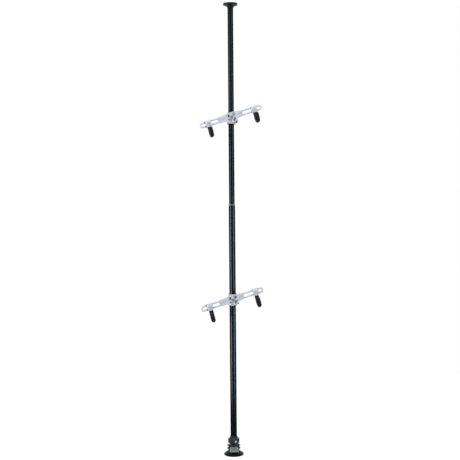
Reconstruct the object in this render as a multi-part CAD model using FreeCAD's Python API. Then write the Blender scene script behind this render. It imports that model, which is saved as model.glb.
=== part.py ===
import FreeCAD, Part
import math
import os

# Floor-to-ceiling tension pole with two bicycle cradles, in millimetres.
# The origin is on the floor at the pole's axis, +Z is up and the cradles face -Y.

os.makedirs("parts", exist_ok=True)
V = FreeCAD.Vector
X_AXIS = V(1, 0, 0)
Y_AXIS = V(0, 1, 0)
Z_AXIS = V(0, 0, 1)

# Clearances that the mating pieces share
seat_gap = 0.3
running_gap = 0.05

# Floor foot
pad_radius = 61.0
pad_rim = 10.0
pad_height = 24.0
pad_top_radius = 36.0
pad_pocket_radius = 30.0
pad_pocket_floor = 12.0
pad_edge = 3.0
pad_grooves = (18.0, 34.0, 50.0)
pad_groove_depth = 1.5
pad_groove_half = 2.0
cheek_thickness = 6.0
cheek_inner = 27.3
cheek_foot_half = 22.0
cheek_top_half = 13.0
cheek_foot = 4.0
shoe_reach = 9.0
shoe_half = 18.0
shoe_height = 3.0
flange_length = 83.0
flange_depth = 27.0
flange_thickness = 3.5
flange_bottom = 56.5
flange_end = 1.5
screw_radius = 2.0
screw_depth = 8.0
screw_head_rim = 1.6
screw_head_height = 3.4
screw_socket_radius = 1.4
screw_socket_depth = 1.8

# Pedal and its cam
pivot_height = 40.0
pin_radius = 3.0
pin_reach = 41.0
knob_radius = 6.0
knob_length = 7.0
knob_cap = 2.0
hub_radius = 4.6
cam_pitch_radius = 13.0
cam_lift = 3.0
cam_turn = 25.0
cam_step = 8.0
cam_inner = 8.0
cam_width = 11.0
follower_radius = 3.0
follower_half_length = 20.0
crosshead_half = 5.0
pedal_half_width = 26.0
pedal_sheet = 4.0
pedal_near = (-27.0, 49.0)
pedal_far = (-51.0, 29.0)
pedal_heel = (-18.0, 31.0)
pedal_lip = 2.0
tread_thickness = 3.0
tread_margin = 2.0
tread_border = 4.0
tread_rib = 1.2
tread_ribs = 7
tread_gap = 1.8

# Height adjuster under the pole
stem_radius = 10.0
stem_top = 235.0
stem_chamfer = 2.0
neck_radius = 15.0
neck_height = 6.0
neck_wall = 3.0
neck_chamfer = 1.5
collar_core_radius = 29.0
collar_height = 38.0
collar_taper = 5.0
collar_chamfer = 2.0
collar_recess = 1.0
lobe_radius = 7.0
lobe_sink = 1.0
lobe_round = 2.5
lobe_count = 8
collar_screw_angle = -69.0
collar_screw_radius = 6.0
collar_screw_depth = 9.0
collar_screw_proud = 1.5
ferrule_flare = 4.0
ferrule_base = 3.0
ferrule_height = 15.0
ferrule_step = 1.0
foot_step = 4.0
plug_length = 50.0
plug_taper = 3.0

# Telescopic pole
lower_radius = 20.0
upper_radius = 17.5
tube_wall = 1.5
lower_length = 1439.0
upper_bottom = 1048.0
total_height = 2800.0
bushing_length = 40.0
bushing_lip = 4.0
bushing_bevel = 2.0
bushing_proud = 0.8
guide_length = 18.0
guide_spigot = 30.0
guide_taper = 2.0
lock_drop = 23.0
lock_screw_radius = 4.0
lock_boss_radius = 9.0
lock_boss_reach = 11.0
lock_knob_core = 11.0
lock_knob_height = 14.0
lock_lobe_place = 10.0
lock_lobe_radius = 5.0
lock_lobe_count = 5
lock_lobe_step = 2.0
ceiling_radius = 45.0
ceiling_pad_thickness = 8.0
ceiling_pad_edge = 1.0
ceiling_plate = 2.5
ceiling_dish = 14.0
ceiling_rim = 4.0
ceiling_spigot = 30.0
ceiling_shoulder = 12.0
ceiling_screw_radius = 4.0
ceiling_head_radius = 8.0
ceiling_head_height = 3.5
ceiling_socket_radius = 3.0
ceiling_socket_depth = 2.0

# Cradle mounts: height of the arm axis on the pole and the radius they clamp on
mount_heights = {"lower": 972.0, "upper": 2093.0}
mount_radii = {"lower": lower_radius, "upper": upper_radius}
sleeve_radius = 22.5
sleeve_flange = 3.5
sleeve_rim = 2.0
clamp_top = 24.0
clamp_bottom = -42.0
clamp_wall = 4.0
clamp_edge = 1.5
clamp_band = 9.0
window_gap = 1.5
window_wall = 3.5
pivot_drop = 6.0
neck_half = 11.0
neck_trim = 3.0
neck_corner = 4.0
boss_radius = 17.0
boss_length = 8.0
clamp_slot = 3.0
lug_x = 32.0
lug_z = -12.0
lug_half = 6.0
lug_height = 11.0
lug_reach = 11.0
lug_round = 4.0
clamp_bolt_radius = 3.0
clamp_nut_radius = 5.5
clamp_nut_height = 5.0
bolt_end = 1.0
eye_bolt_half = 1.8
lever_pin_radius = 2.5
lever_cam_radius = 6.0
lever_length = 25.0
lever_width = 12.0
lever_neck = 14.0
lever_slot = 9.0
tilt_bolt_radius = 4.0
tilt_bolt_depth = 24.0
washer_radius = 10.0
washer_thickness = 1.5
bolt_head_radius = 7.0
bolt_head_height = 6.5
bolt_head_edge = 1.0
bolt_socket_radius = 3.4
bolt_socket_depth = 4.0

# Arm frame and rods
arm_tilt = 17.5
frame_back = -66.3
frame_thickness = 14.0
wing_reaches = {"left": 88.0, "right": 70.0}
wing_half = 18.5
eye_half = 39.0
eye_flat = 17.0
eye_step = 2.0
eye_top = 25.0
eye_bottom = -38.0
web_pocket = 3.0
web_end = 4.0
web_wall = 2.5
frame_hub = 12.0
eye_rim = 6.0
hub_spoke = 10.0
frame_corner = 3.5
frame_round = 2.5
window_corner = 1.5
window_round = 0.9
rod_radius = 5.0
rod_spacing = 25.0
rod_reaches = {"left": 205.0, "right": 195.0}
rod_socket = 30.0

# Carriages and hooks
carriage_places = {"left": -148.0, "right": 145.0}
bracket_half_width = 18.0
bracket_half_height = 21.0
bracket_half_depth = 11.0
bracket_corner = 7.0
bracket_edge = 2.0
hook_seat = 3.0
hook_eye_radius = 13.0
hook_eye_thickness = 10.0
hook_rod_radius = 6.0
hook_bolt_radius = 4.0
hook_nut_radius = 6.5
hook_nut_height = 5.0
hook_head_height = 5.5
hook_bar_start = 9.0
hook_bar_end = 8.0
rubber_radius = 13.5
rubber_top = -28.0
rubber_mouth = 5.0
rubber_end_round = 5.0
rubber_top_round = 2.0
cradle_depth = 64.0
cradle_floor = -76.0
cradle_bend = 20.0
lip_top = -29.0
hook_swing = 3.0


def cylinder(radius, start, end, axis=Z_AXIS, centre=V(0, 0, 0)):
    """A cylinder between two distances along an axis through a centre."""
    base = centre + axis * start
    return Part.makeCylinder(radius, end - start, base, axis)


def box(low, high):
    """A box between two corners."""
    size = V(*high) - V(*low)
    return Part.makeBox(size.x, size.y, size.z, V(*low))


def turned(profile):
    """A solid of revolution about the pole's axis from radius and height pairs."""
    points = [V(radius, 0, height) for radius, height in profile]
    face = Part.Face(Part.makePolygon(points + [points[0]]))
    return face.revolve(V(0, 0, 0), Z_AXIS, 360)


def plate(outline, back, thickness):
    """A flat plate from an outline across X and Z, from its back face towards -Y."""
    points = [V(across, back, up) for across, up in outline]
    face = Part.Face(Part.makePolygon(points + [points[0]]))
    return face.extrude(V(0, -thickness, 0))


def side_plate(outline, start, thickness):
    """A flat plate from an outline across Y and Z, from a start face towards +X."""
    points = [V(start, across, up) for across, up in outline]
    face = Part.Face(Part.makePolygon(points + [points[0]]))
    return face.extrude(V(thickness, 0, 0))


def edges_along(shape, axis, length=0.0):
    """The straight edges that run along an axis and are at least so long."""
    found = []
    for edge in shape.Edges:
        if edge.Curve.TypeId != "Part::GeomLine" or edge.Length < length:
            continue
        run = edge.Vertexes[1].Point - edge.Vertexes[0].Point
        if abs(abs(run.normalize().dot(axis)) - 1) < 1e-6:
            found.append(edge)
    return found


def edges_at_depth(shape, depth):
    """The edges that lie at one depth in front of the pole."""
    found = []
    for edge in shape.Edges:
        ends = [abs(vertex.Point.y - depth) for vertex in edge.Vertexes]
        if max(ends) < 0.001:
            found.append(edge)
    return found


def circles_at(shape, radius, centre):
    """The round edges of one radius about one centre."""
    found = []
    for edge in shape.Edges:
        if edge.Curve.TypeId != "Part::GeomCircle":
            continue
        near = edge.Curve.Center.distanceToPoint(centre) < 0.01
        if near and abs(edge.Curve.Radius - radius) < 0.01:
            found.append(edge)
    return found


def fused(shapes):
    """One solid from overlapping shapes."""
    return shapes[0].fuse(shapes[1:]).removeSplitter()


def save(name, shape):
    """Writes one named piece."""
    shape.exportStep("parts/" + name + ".step")


# Heights that follow from the sizes above
flange_top = flange_bottom + flange_thickness
neck_top = flange_top + neck_height
collar_bottom = neck_top + seat_gap
collar_top = collar_bottom + collar_height
foot_bottom = collar_top + seat_gap
lower_bottom = foot_bottom + foot_step
lower_top = lower_bottom + lower_length
plate_bottom = total_height - ceiling_pad_thickness - ceiling_plate
upper_top = plate_bottom - ceiling_dish
lock_height = lower_top - lock_drop


def floor_pad():
    """Rubber foot: a coned disc with a pocket for the housing and tread grooves below."""
    body = turned([
        (0, 0), (pad_radius - pad_edge, 0), (pad_radius, pad_edge), (pad_radius, pad_rim - pad_edge),
        (pad_radius - pad_edge, pad_rim), (pad_top_radius + pad_edge, pad_height - pad_edge),
        (pad_top_radius, pad_height), (pad_pocket_radius, pad_height),
        (pad_pocket_radius, pad_pocket_floor), (0, pad_pocket_floor),
    ])
    for radius in pad_grooves:
        groove = cylinder(radius + pad_groove_half, 0, pad_groove_depth)
        body = body.cut(groove.cut(cylinder(radius - pad_groove_half, 0, pad_groove_depth)))
    return body


def base_housing():
    """Cast housing: a foot in the rubber pad with two cheeks for the pedal's pin."""
    foot_radius = pad_pocket_radius - running_gap
    pieces = [cylinder(foot_radius, pad_pocket_floor, pad_height)]
    root = pad_height - cheek_foot
    shoulder = pad_height + cheek_foot
    cheek_outline = [
        (-cheek_foot_half, root), (cheek_foot_half, root), (cheek_foot_half, shoulder),
        (cheek_top_half, flange_bottom), (-cheek_top_half, flange_bottom), (-cheek_foot_half, shoulder),
    ]
    reach = cheek_inner + cheek_thickness
    for side in (-1, 1):
        start = min(side * cheek_inner, side * reach)
        pieces.append(side_plate(cheek_outline, start, cheek_thickness))
        ends = (side * cheek_inner, side * (cheek_inner - shoe_reach))
        pieces.append(box((min(ends), -shoe_half, root), (max(ends), shoe_half, pad_height + shoe_height)))
    body = fused(pieces)
    outside = cylinder(2 * pad_pocket_radius, pad_pocket_floor, pad_height)
    body = body.cut(outside.cut(cylinder(foot_radius, pad_pocket_floor, pad_height)))
    body = body.cut(cylinder(pin_radius, -reach - 1, reach + 1, X_AXIS, V(0, 0, pivot_height)))
    for x, y in flange_screw_places():
        hole = cylinder(screw_radius, flange_bottom - screw_depth, flange_bottom, Z_AXIS, V(x, y, 0))
        body = body.cut(hole)
    return body


def flange_screw_places():
    """The four screws that hold the flange down, over the middle of the cheeks."""
    across = cheek_inner + cheek_thickness / 2
    return [(side * across, end * cheek_top_half * 0.6) for side in (-1, 1) for end in (-1, 1)]


def base_flange():
    """Bright top plate with rounded ends that closes the housing and holds the guide."""
    half = flange_length / 2
    deep = flange_depth / 2
    body = box((-half, -deep, flange_bottom), (half, deep, flange_top))
    body = body.makeFillet(deep - flange_end, edges_along(body, Z_AXIS))
    body = body.cut(cylinder(neck_radius - neck_wall, flange_bottom, flange_top))
    for x, y in flange_screw_places():
        body = body.cut(cylinder(screw_radius, flange_bottom, flange_top, Z_AXIS, V(x, y, 0)))
    return body


def flange_screws():
    """Four socket screws through the flange into the cheeks."""
    screws = []
    for x, y in flange_screw_places():
        place = V(x, y, 0)
        top = flange_top + screw_head_height
        shank = cylinder(screw_radius, flange_bottom - screw_depth, flange_top, Z_AXIS, place)
        head = cylinder(screw_radius + screw_head_rim, flange_top, top, Z_AXIS, place)
        socket = cylinder(screw_socket_radius, top - screw_socket_depth, top, Z_AXIS, place)
        screws.append(fused([shank, head]).cut(socket))
    return Part.makeCompound(screws)


def guide_bush():
    """Plastic neck that guides the stem through the flange."""
    bore = stem_radius + running_gap
    spigot = neck_radius - neck_wall
    return turned([
        (bore, flange_bottom), (spigot, flange_bottom), (spigot, flange_top), (neck_radius, flange_top),
        (neck_radius, neck_top - neck_chamfer), (neck_radius - neck_chamfer, neck_top), (bore, neck_top),
    ])


def pivot_pin():
    """Steel pin across the cheeks that the pedal turns on."""
    reach = pin_reach - knob_cap
    return cylinder(pin_radius, -reach, reach, X_AXIS, V(0, 0, pivot_height))


def pivot_knobs():
    """Round caps on both ends of the pivot pin."""
    knobs = []
    for side in (-1, 1):
        axis = X_AXIS * side
        start = pin_reach - knob_length
        knob = cylinder(knob_radius, start, pin_reach, axis, V(0, 0, pivot_height))
        knob = knob.makeFillet(knob_cap, circles_at(knob, knob_radius, V(side * pin_reach, 0, pivot_height)))
        socket = cylinder(pin_radius, start - 1, pin_reach - knob_cap, axis, V(0, 0, pivot_height))
        knobs.append(knob.cut(socket))
    return Part.makeCompound(knobs)


def cam_edge(turn):
    """A point of the spiral that meets the round follower at one pedal angle."""
    angle = math.radians(turn)
    slope = cam_lift / math.radians(cam_turn)
    pitch = cam_pitch_radius - cam_lift * turn / cam_turn
    outward = V(0, -math.sin(angle), math.cos(angle))
    forward = V(0, -math.cos(angle), -math.sin(angle))
    normal = outward * pitch + forward * slope
    normal.normalize()
    offset = follower_radius + seat_gap
    return outward * pitch - normal * offset + V(0, 0, pivot_height)


def cam_lobe(start):
    """One cam on the pedal's hub: a spiral that runs into a round dwell."""
    turns = [step * cam_step for step in range(-4, 9)]
    points = [cam_edge(turn) + V(start, 0, 0) for turn in turns]
    curve = Part.BSplineCurve()
    curve.interpolate(points)
    under = V(start, 2.0, pivot_height - hub_radius - 1.0)
    back = Part.Arc(points[-1], under, points[0])
    face = Part.Face(Part.Wire([curve.toShape(), back.toShape()]))
    dwell_radius = cam_pitch_radius - follower_radius - seat_gap
    dwell = cylinder(dwell_radius, start, start + cam_width, X_AXIS, V(0, 0, pivot_height))
    return face.extrude(V(cam_width, 0, 0)).common(dwell)


def pedal_direction():
    """The unit vector down the pedal's plate and the one square out of its top."""
    run = V(0, pedal_far[0] - pedal_near[0], pedal_far[1] - pedal_near[1])
    run.normalize()
    return run, V(0, run.z, -run.y)


def foot_pedal():
    """Foot pedal: two cams on a hub, two side arms and the plate that the foot presses."""
    run, out = pedal_direction()
    near = V(0, *pedal_near)
    far = V(0, *pedal_far)
    inner = pedal_half_width
    hub = cylinder(hub_radius, -inner, inner, X_AXIS, V(0, 0, pivot_height))
    pieces = [hub, cam_lobe(cam_inner), cam_lobe(-cam_inner - cam_width)]
    corners = [near, far, far - out * pedal_sheet, near - out * pedal_sheet]
    outline = [(point.y, point.z) for point in corners]
    pieces.append(side_plate(outline, -inner, 2 * inner))
    arm_outline = [
        (hub_radius * 0.6, pivot_height + hub_radius * 0.7), (near.y, near.z), (far.y, far.z),
        (far.y - out.y * (pedal_sheet + pedal_lip), far.z - out.z * (pedal_sheet + pedal_lip)),
        pedal_heel, (hub_radius * 0.6, pivot_height - hub_radius * 0.9),
    ]
    for start in (-inner, inner - pedal_sheet):
        pieces.append(side_plate(arm_outline, start, pedal_sheet))
    body = fused(pieces)
    return body.cut(cylinder(pin_radius + running_gap, -inner - 1, inner + 1, X_AXIS, V(0, 0, pivot_height)))


def pedal_tread():
    """Ribbed grip on the pedal's plate."""
    run, out = pedal_direction()
    near = V(0, *pedal_near)
    length = (V(0, *pedal_far) - near).Length
    half = pedal_half_width - tread_margin
    corners = [near, near + run * length, near + run * length + out * tread_thickness,
               near + out * tread_thickness]
    body = side_plate([(point.y, point.z) for point in corners], -half, 2 * half)
    body = body.makeFillet(tread_rib, edges_along(body, out))
    pitch = length / tread_ribs
    low = out * (tread_thickness - tread_rib)
    high = out * (tread_thickness + 1)
    aside = run * (tread_gap / 2)
    grooves = []
    for index in range(tread_ribs - 1):
        middle = near + run * (pitch * (index + 1))
        cuts = [middle - aside + low, middle + aside + low, middle + aside + high, middle - aside + high]
        outline = [(point.y, point.z) for point in cuts]
        grooves.append(side_plate(outline, -half + tread_border, 2 * (half - tread_border)))
    return body.cut(Part.makeCompound(grooves))


def lift_stem():
    """Threaded stem with the round-nosed crosshead that rides on the cams."""
    nose = pivot_height + cam_pitch_radius
    shaft = cylinder(stem_radius, nose, stem_top)
    shaft = shaft.makeChamfer(stem_chamfer, circles_at(shaft, stem_radius, V(0, 0, stem_top)))
    bar = box((-follower_half_length, -crosshead_half, nose),
              (follower_half_length, crosshead_half, nose + follower_radius))
    roller = cylinder(follower_radius, -follower_half_length, follower_half_length, X_AXIS, V(0, 0, nose))
    return fused([shaft, bar, roller])


def adjuster_collar():
    """Lobed hand nut on the stem that screws the pole up."""
    shell = turned([
        (0, collar_bottom), (collar_core_radius - collar_taper, collar_bottom),
        (collar_core_radius, collar_bottom + collar_taper), (collar_core_radius, collar_top - collar_chamfer),
        (collar_core_radius - collar_chamfer, collar_top), (0, collar_top),
    ])
    pieces = [shell]
    for index in range(lobe_count):
        angle = math.radians(collar_screw_angle + 360.0 / lobe_count * (index + 0.5))
        reach = collar_core_radius - lobe_sink
        centre = V(reach * math.cos(angle), reach * math.sin(angle), 0)
        lobe = cylinder(lobe_radius, collar_bottom + collar_taper, collar_top, Z_AXIS, centre)
        pieces.append(lobe.makeFillet(lobe_round, circles_at(lobe, lobe_radius, centre + V(0, 0, collar_top))))
    body = fused(pieces)
    body = body.cut(cylinder(stem_radius + running_gap, collar_bottom, collar_top))
    recess_top = collar_bottom + cam_lift + collar_recess
    body = body.cut(cylinder(neck_radius + collar_recess, collar_bottom, recess_top))
    return body.cut(collar_screw_space(0.0))


def collar_screw_space(gap):
    """The bright screw's cylinder in the collar's side, or the hole it sits in."""
    angle = math.radians(collar_screw_angle)
    axis = V(math.cos(angle), math.sin(angle), 0)
    middle = V(0, 0, (collar_bottom + collar_top) / 2)
    return cylinder(collar_screw_radius - gap, collar_core_radius - collar_screw_depth,
                    collar_core_radius + collar_screw_proud, axis, middle)


def collar_screw():
    """Bright lock screw in the side of the collar."""
    return collar_screw_space(running_gap)


def tube_foot():
    """Ferrule and plug on the pole's lower end, guided on the stem."""
    bore = stem_radius + running_gap
    inner = lower_radius - tube_wall
    flare = lower_radius + ferrule_flare
    top = foot_bottom + ferrule_height
    plug_top = lower_bottom + plug_length
    return turned([
        (bore, foot_bottom), (flare, foot_bottom), (flare, foot_bottom + ferrule_base),
        (lower_radius + ferrule_step, top), (lower_radius, top), (lower_radius, lower_bottom),
        (inner, lower_bottom), (inner, plug_top), (inner - plug_taper, plug_top + plug_taper),
        (bore, plug_top + plug_taper),
    ])


def lock_hole(radius, start, end):
    """A round hole in the pole's back for the height lock screw."""
    return cylinder(radius, start, end, Y_AXIS, V(0, 0, lock_height))


def lower_tube():
    """Lower and wider tube of the pole."""
    body = cylinder(lower_radius, lower_bottom, lower_top)
    body = body.cut(cylinder(lower_radius - tube_wall, lower_bottom, lower_top))
    return body.cut(lock_hole(lock_screw_radius + seat_gap, 0, lower_radius + 1))


def tube_bushing():
    """Liner with a light lip in the mouth of the lower tube."""
    bore = upper_radius + running_gap
    outer = lower_radius - tube_wall
    rim = lower_radius + bushing_proud
    lip_height = lower_top + bushing_lip
    body = turned([
        (bore, lower_top - bushing_length), (outer, lower_top - bushing_length), (outer, lower_top),
        (rim, lower_top), (rim, lip_height - bushing_bevel), (rim - bushing_bevel, lip_height),
        (bore, lip_height),
    ])
    return body.cut(lock_hole(lock_screw_radius + seat_gap, 0, lower_radius + 1))


def upper_tube():
    """Upper and narrower tube of the pole."""
    body = cylinder(upper_radius, upper_bottom, upper_top)
    return body.cut(cylinder(upper_radius - tube_wall, upper_bottom, upper_top))


def inner_guide():
    """Plug on the upper tube's lower end that keeps it central in the lower tube."""
    spigot = upper_radius - tube_wall
    wide = lower_radius - tube_wall - 2 * running_gap
    low = upper_bottom - guide_length
    high = upper_bottom + guide_spigot
    return turned([
        (0, low), (wide - guide_taper, low), (wide, low + guide_taper), (wide, upper_bottom),
        (spigot, upper_bottom), (spigot, high - guide_taper), (spigot - guide_taper, high), (0, high),
    ])


def height_lock_boss():
    """Threaded boss welded to the back of the lower tube."""
    end = lower_radius + lock_boss_reach
    body = cylinder(lock_boss_radius, 0, end, Y_AXIS, V(0, 0, lock_height))
    body = body.cut(cylinder(lower_radius, lock_height - lower_radius, lock_height + lower_radius))
    return body.cut(lock_hole(lock_screw_radius + running_gap, 0, end))


def height_lock_knob():
    """Lobed knob whose screw presses on the upper tube."""
    start = lower_radius + lock_boss_reach + seat_gap
    end = start + lock_knob_height
    middle = V(0, 0, lock_height)
    pieces = [cylinder(lock_screw_radius, upper_radius + seat_gap, end, Y_AXIS, middle),
              cylinder(lock_knob_core, start, end, Y_AXIS, middle)]
    for index in range(lock_lobe_count):
        angle = math.radians(90 + 360 / lock_lobe_count * index)
        centre = middle + V(math.cos(angle), 0, math.sin(angle)) * lock_lobe_place
        pieces.append(cylinder(lock_lobe_radius, start, end - lock_lobe_step, Y_AXIS, centre))
    return fused(pieces)


def ceiling_foot():
    """Dished plate on top of the pole with a spigot in the upper tube."""
    inner = upper_radius - tube_wall
    top = plate_bottom + ceiling_plate
    low = upper_top - ceiling_spigot
    collar = upper_radius + ceiling_rim
    well = ceiling_head_radius + running_gap
    hole = ceiling_screw_radius
    well_floor = top - ceiling_head_height - running_gap
    return turned([
        (hole, low), (inner - guide_taper, low), (inner, low + guide_taper), (inner, upper_top),
        (collar, upper_top), (collar, upper_top + ceiling_rim),
        (ceiling_radius - ceiling_shoulder, plate_bottom - ceiling_rim), (ceiling_radius, plate_bottom),
        (ceiling_radius, top), (well, top), (well, well_floor), (hole, well_floor),
    ])


def ceiling_screw():
    """Socket screw in the middle of the ceiling foot."""
    top = plate_bottom + ceiling_plate - running_gap
    shank = cylinder(ceiling_screw_radius, upper_top - ceiling_spigot, top)
    head = cylinder(ceiling_head_radius, top - ceiling_head_height, top)
    socket = cylinder(ceiling_socket_radius, top - ceiling_socket_depth, top)
    return fused([shank, head]).cut(socket)


def ceiling_pad():
    """Rubber pad that presses on the ceiling."""
    low = total_height - ceiling_pad_thickness
    return turned([
        (0, low), (ceiling_radius, low), (ceiling_radius, total_height - ceiling_pad_edge),
        (ceiling_radius - ceiling_pad_edge, total_height), (0, total_height),
    ])


def mount_sleeve(tube_radius):
    """Plastic liner with a flange at each end, sliding on the tube."""
    bore = tube_radius + running_gap
    rim = sleeve_radius + sleeve_flange
    return turned([
        (bore, clamp_bottom - sleeve_rim), (rim, clamp_bottom - sleeve_rim), (rim, clamp_bottom),
        (sleeve_radius, clamp_bottom), (sleeve_radius, clamp_top), (rim, clamp_top),
        (rim, clamp_top + sleeve_rim), (bore, clamp_top + sleeve_rim),
    ])


def clamp_body():
    """Split clamp round the liner, with windows and the neck that carries the arms."""
    outer = sleeve_radius + clamp_wall
    low = clamp_bottom + seat_gap
    high = clamp_top - seat_gap
    ring = cylinder(outer, low, high)
    ring_ends = circles_at(ring, outer, V(0, 0, high)) + circles_at(ring, outer, V(0, 0, low))
    ring = ring.makeFillet(clamp_edge, ring_ends)
    neck_end = frame_back + seat_gap
    neck_rise = boss_radius - neck_trim
    neck = box((-neck_half, neck_end + boss_length / 2, -pivot_drop - neck_rise),
               (neck_half, -sleeve_radius, -pivot_drop + neck_rise))
    neck = neck.makeFillet(neck_corner, edges_along(neck, Y_AXIS))
    boss = cylinder(boss_radius, -neck_end - boss_length, -neck_end, Y_AXIS * -1, V(0, 0, -pivot_drop))
    lugs = box((sleeve_radius - clamp_wall, -lug_reach, lug_z - lug_height),
               (lug_x + lug_half, lug_reach, lug_z + lug_height))
    outer_edges = [edge for edge in edges_along(lugs, Y_AXIS) if edge.CenterOfMass.x > lug_x]
    lugs = lugs.makeFillet(lug_round, outer_edges)
    body = fused([ring, neck, boss, lugs])
    body = body.cut(cylinder(sleeve_radius + running_gap, low - 1, high + 1))
    body = body.cut(box((0, -clamp_slot / 2, low - 1), (lug_x + lug_half + 1, clamp_slot / 2, high + 1)))
    for side in (-1, 1):
        near = side * (neck_half + window_gap)
        far = side * (outer - window_wall)
        window = box((min(near, far), -outer, clamp_bottom + clamp_band),
                     (max(near, far), -lug_reach - window_gap, clamp_top - clamp_band))
        body = body.cut(window.makeFillet(window_corner, edges_along(window, Y_AXIS)))
    bolt = cylinder(clamp_bolt_radius + seat_gap, -lug_reach - 1, lug_reach + 1, Y_AXIS, V(lug_x, 0, lug_z))
    body = body.cut(bolt)
    pivot = V(0, 0, -pivot_drop)
    deep = tilt_bolt_depth + bolt_end
    return body.cut(cylinder(tilt_bolt_radius, -neck_end - deep, -neck_end + 1, Y_AXIS * -1, pivot))


def lever_axis_y():
    """Where the lever's pin lies in front of the lugs."""
    return -lug_reach - seat_gap - lever_cam_radius


def clamp_bolt():
    """Eye bolt through the lugs, with its cross pin and the nut at the back."""
    front = lever_axis_y()
    nut_top = lug_reach + clamp_nut_height
    half = lever_width / 2
    shank = cylinder(clamp_bolt_radius, front, nut_top + bolt_end, Y_AXIS, V(lug_x, 0, lug_z))
    eye = cylinder(lever_cam_radius - 1, lug_x - eye_bolt_half, lug_x + eye_bolt_half, X_AXIS,
                   V(0, front, lug_z))
    pin = cylinder(lever_pin_radius, lug_x - half, lug_x + half, X_AXIS, V(0, front, lug_z))
    nut = cylinder(clamp_nut_radius, lug_reach, nut_top, Y_AXIS, V(lug_x, 0, lug_z))
    return fused([shank, eye, pin, nut])


def clamp_lever():
    """Forked cam lever that closes the clamp, hanging down when it is shut."""
    front = lever_axis_y()
    half = lever_width / 2
    fork = clamp_bolt_radius + seat_gap
    tip = lug_z - lever_length
    waist = lug_z - lever_neck
    outline = [
        (front - 3.5, lug_z), (front + 3.0, lug_z), (front + 1.5, waist),
        (front - 1.0, tip + 2), (front - 3.0, tip), (front - 5.5, tip + 1.5), (front - 4.5, waist),
    ]
    pieces = [
        cylinder(lever_cam_radius, lug_x - half, lug_x + half, X_AXIS, V(0, front, lug_z)),
        side_plate(outline, lug_x - half, lever_width),
    ]
    body = fused(pieces)
    slot = box((lug_x - fork, front - lever_slot, lug_z - lever_slot),
               (lug_x + fork, front + lever_slot, lug_z + lever_slot))
    hole = cylinder(lever_pin_radius + running_gap, lug_x - half - 1, lug_x + half + 1, X_AXIS,
                    V(0, front, lug_z))
    return body.cut(slot).cut(hole)


def tilt_bolt():
    """Bolt that the arm frame tilts on, with a washer and a socket head."""
    pivot = V(0, 0, -pivot_drop)
    neck_end = frame_back + seat_gap
    front = -frame_back + frame_thickness + seat_gap
    axis = Y_AXIS * -1
    seat = front + washer_thickness
    end = seat + bolt_head_height
    shank = cylinder(tilt_bolt_radius, -neck_end - tilt_bolt_depth, seat, axis, pivot)
    washer = cylinder(washer_radius, front, seat, axis, pivot)
    head = cylinder(bolt_head_radius, seat, end, axis, pivot)
    head = head.makeFillet(bolt_head_edge, circles_at(head, bolt_head_radius, pivot + axis * end))
    socket = cylinder(bolt_socket_radius, end - bolt_socket_depth, end, axis, pivot)
    return fused([shank, washer, head]).cut(socket)


def side_sign(side):
    """Minus one for the left arm and one for the right arm."""
    return -1 if side == "left" else 1


def mirrored(outline):
    """An outline's points on the other side of the pole's axis."""
    return [(-across, up) for across, up in reversed(outline)]


def arm_frame():
    """Cast frame: an eye with four windows round the tilt bolt and two webbed wings."""
    inner_half = wing_half + eye_step
    sides = {}
    for side, reach in wing_reaches.items():
        sides[side] = [(eye_flat, eye_top), (eye_half, inner_half), (reach, wing_half),
                       (reach, -wing_half), (eye_half, -inner_half), (eye_flat, eye_bottom)]
    body = plate(sides["right"] + mirrored(sides["left"]), frame_back, frame_thickness)
    body = body.makeFillet(frame_corner, edges_along(body, Y_AXIS))
    body = body.makeFillet(frame_round, edges_at_depth(body, frame_back - frame_thickness))
    hub = -pivot_drop
    inner = hub_spoke / 2
    window_end = eye_half - 2 * eye_rim
    upper_window = [(inner, eye_top - eye_rim), (eye_flat, eye_top - eye_rim),
                    (window_end, inner_half - eye_rim), (window_end, hub + inner),
                    (frame_hub, hub + inner), (inner, hub + frame_hub)]
    lower_window = [(inner, eye_bottom + eye_rim), (inner, hub - frame_hub), (frame_hub, hub - inner),
                    (window_end, hub - inner), (eye_flat - window_gap, eye_bottom + eye_rim)]
    for outline in (upper_window, lower_window):
        for points in (outline, mirrored(outline)):
            window = plate(points, frame_back + 1, frame_thickness + 2)
            body = body.cut(window.makeFillet(window_corner, edges_along(window, Y_AXIS)))
    web_half = rod_spacing / 2 - rod_radius - web_wall
    for side, reach in wing_reaches.items():
        sign = side_sign(side)
        ends = (sign * (eye_half + web_end), sign * (reach - web_end))
        for face in (frame_back, frame_back - frame_thickness + web_pocket):
            pocket = box((min(ends), face - web_pocket, -web_half), (max(ends), face, web_half))
            body = body.cut(pocket)
        for height in (-rod_spacing / 2, rod_spacing / 2):
            socket = cylinder(rod_radius, reach - rod_socket, reach + 1, X_AXIS * sign,
                              V(0, rod_plane(), height))
            body = body.cut(socket)
    body = body.makeFillet(window_round, edges_at_depth(body, frame_back - frame_thickness))
    bore = cylinder(tilt_bolt_radius + running_gap, -frame_back - 1, -frame_back + frame_thickness + 1,
                    Y_AXIS * -1, V(0, 0, hub))
    return body.cut(bore)


def rod_plane():
    """The depth of the rods' axes."""
    return frame_back - frame_thickness / 2


def arm_rods(side):
    """One bent rod: two parallel rails joined by a half turn at the outer end."""
    sign = side_sign(side)
    bend = rod_spacing / 2
    start = wing_reaches[side] - rod_socket
    straight_end = rod_reaches[side] - rod_radius - bend
    depth = rod_plane()
    pieces = []
    for height in (-bend, bend):
        pieces.append(cylinder(rod_radius, start, straight_end, X_AXIS * sign, V(0, depth, height)))
    centre = V(sign * straight_end, depth, 0)
    circle = Part.makeCircle(rod_radius, centre + V(0, 0, bend), X_AXIS)
    face = Part.Face(Part.Wire([circle]))
    pieces.append(face.revolve(centre, Y_AXIS, 180 * sign))
    return fused(pieces)


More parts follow.
